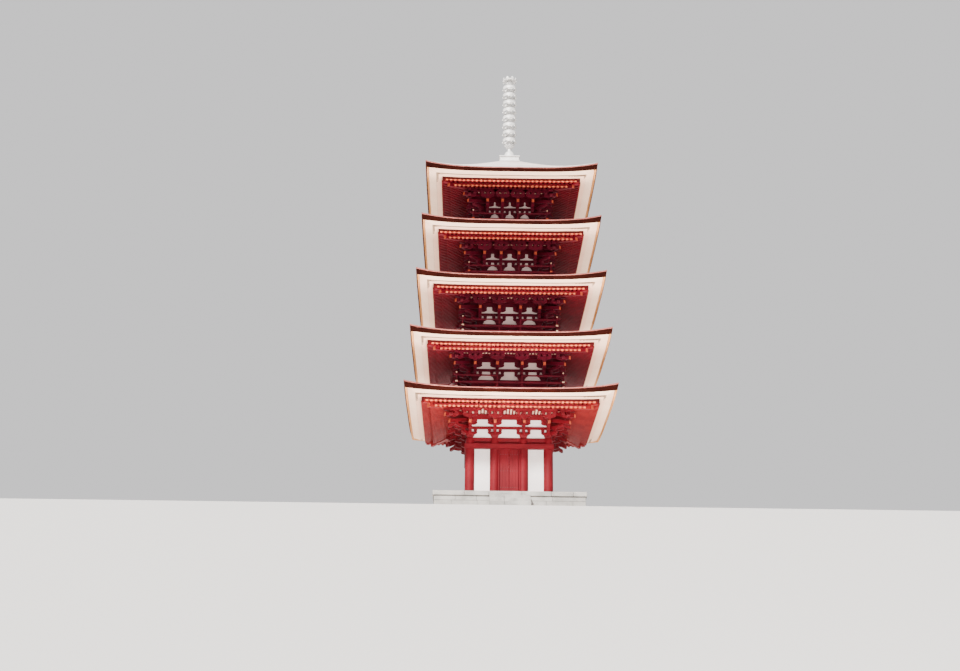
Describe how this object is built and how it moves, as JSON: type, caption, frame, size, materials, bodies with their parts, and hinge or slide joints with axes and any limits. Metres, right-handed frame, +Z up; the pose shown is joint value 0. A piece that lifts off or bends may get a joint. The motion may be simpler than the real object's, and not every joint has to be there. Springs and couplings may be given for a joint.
{
  "type": "five-storey timber pagoda",
  "caption": "Square red timber pagoda with stacked curved bark roofs, bracketed eaves, railed upper storeys, an opening front door and a ringed bronze spire.",
  "frame": {"origin": "ground level under the middle of the tower", "axes": "+Z up, and the front with the steps and the opening door faces -Y"},
  "size_m": [6.554, 6.554, 15.9249],
  "materials": {
    "red_paint": "matt red painted timber",
    "plaster": "matt white lime plaster",
    "white_paint": "matt white painted boards",
    "bark": "layers of weathered cypress bark",
    "stone": "rough cut grey stone",
    "bronze": "pale weathered bronze",
    "bare_wood": "bare boards"
  },
  "bodies": {
    "tower": {"podium": "plaster", "podium_coping": "stone", "front_steps": "stone", "posts_1": "red_paint", "wall_1": "plaster", "floor": "bare_wood", "ceiling": "bare_wood", "door_east": "red_paint", "door_back": "red_paint", "door_west": "red_paint", "brackets_1": "red_paint", "rafters_1": "red_paint", "eave_boards_1": "white_paint", "roof_1": "bark", "posts_2": "red_paint", "wall_2": "plaster", "railing_2": "red_paint", "brackets_2": "red_paint", "rafters_2": "red_paint", "eave_boards_2": "white_paint", "roof_2": "bark", "posts_3": "red_paint", "wall_3": "plaster", "railing_3": "red_paint", "brackets_3": "red_paint", "rafters_3": "red_paint", "eave_boards_3": "white_paint", "roof_3": "bark", "posts_4": "red_paint", "wall_4": "plaster", "railing_4": "red_paint", "brackets_4": "red_paint", "rafters_4": "red_paint", "eave_boards_4": "white_paint", "roof_4": "bark", "posts_5": "red_paint", "wall_5": "plaster", "railing_5": "red_paint", "brackets_5": "red_paint", "rafters_5": "red_paint", "eave_boards_5": "white_paint", "roof_5": "bark", "dew_basin": "bronze", "dome_and_lotus": "bronze", "mast_and_rings": "bronze", "treasure_vase": "bronze", "canopy": "bronze", "jewel": "bronze"},
    "left_door_leaf": {"door_leaf_left": "red_paint"},
    "right_door_leaf": {"door_leaf_right": "red_paint"}
  },
  "joints": [
    {"name": "left_leaf_hinge", "type": "hinge", "parent": "tower", "child": "left_door_leaf", "pos_m": [-0.275, -1.307, 1.458], "axis": [0, 0, -1], "range_deg": [0, 95]},
    {"name": "right_leaf_hinge", "type": "hinge", "parent": "tower", "child": "right_door_leaf", "pos_m": [0.275, -1.307, 1.458], "axis": [0, 0, 1], "range_deg": [0, 95]}
  ]
}
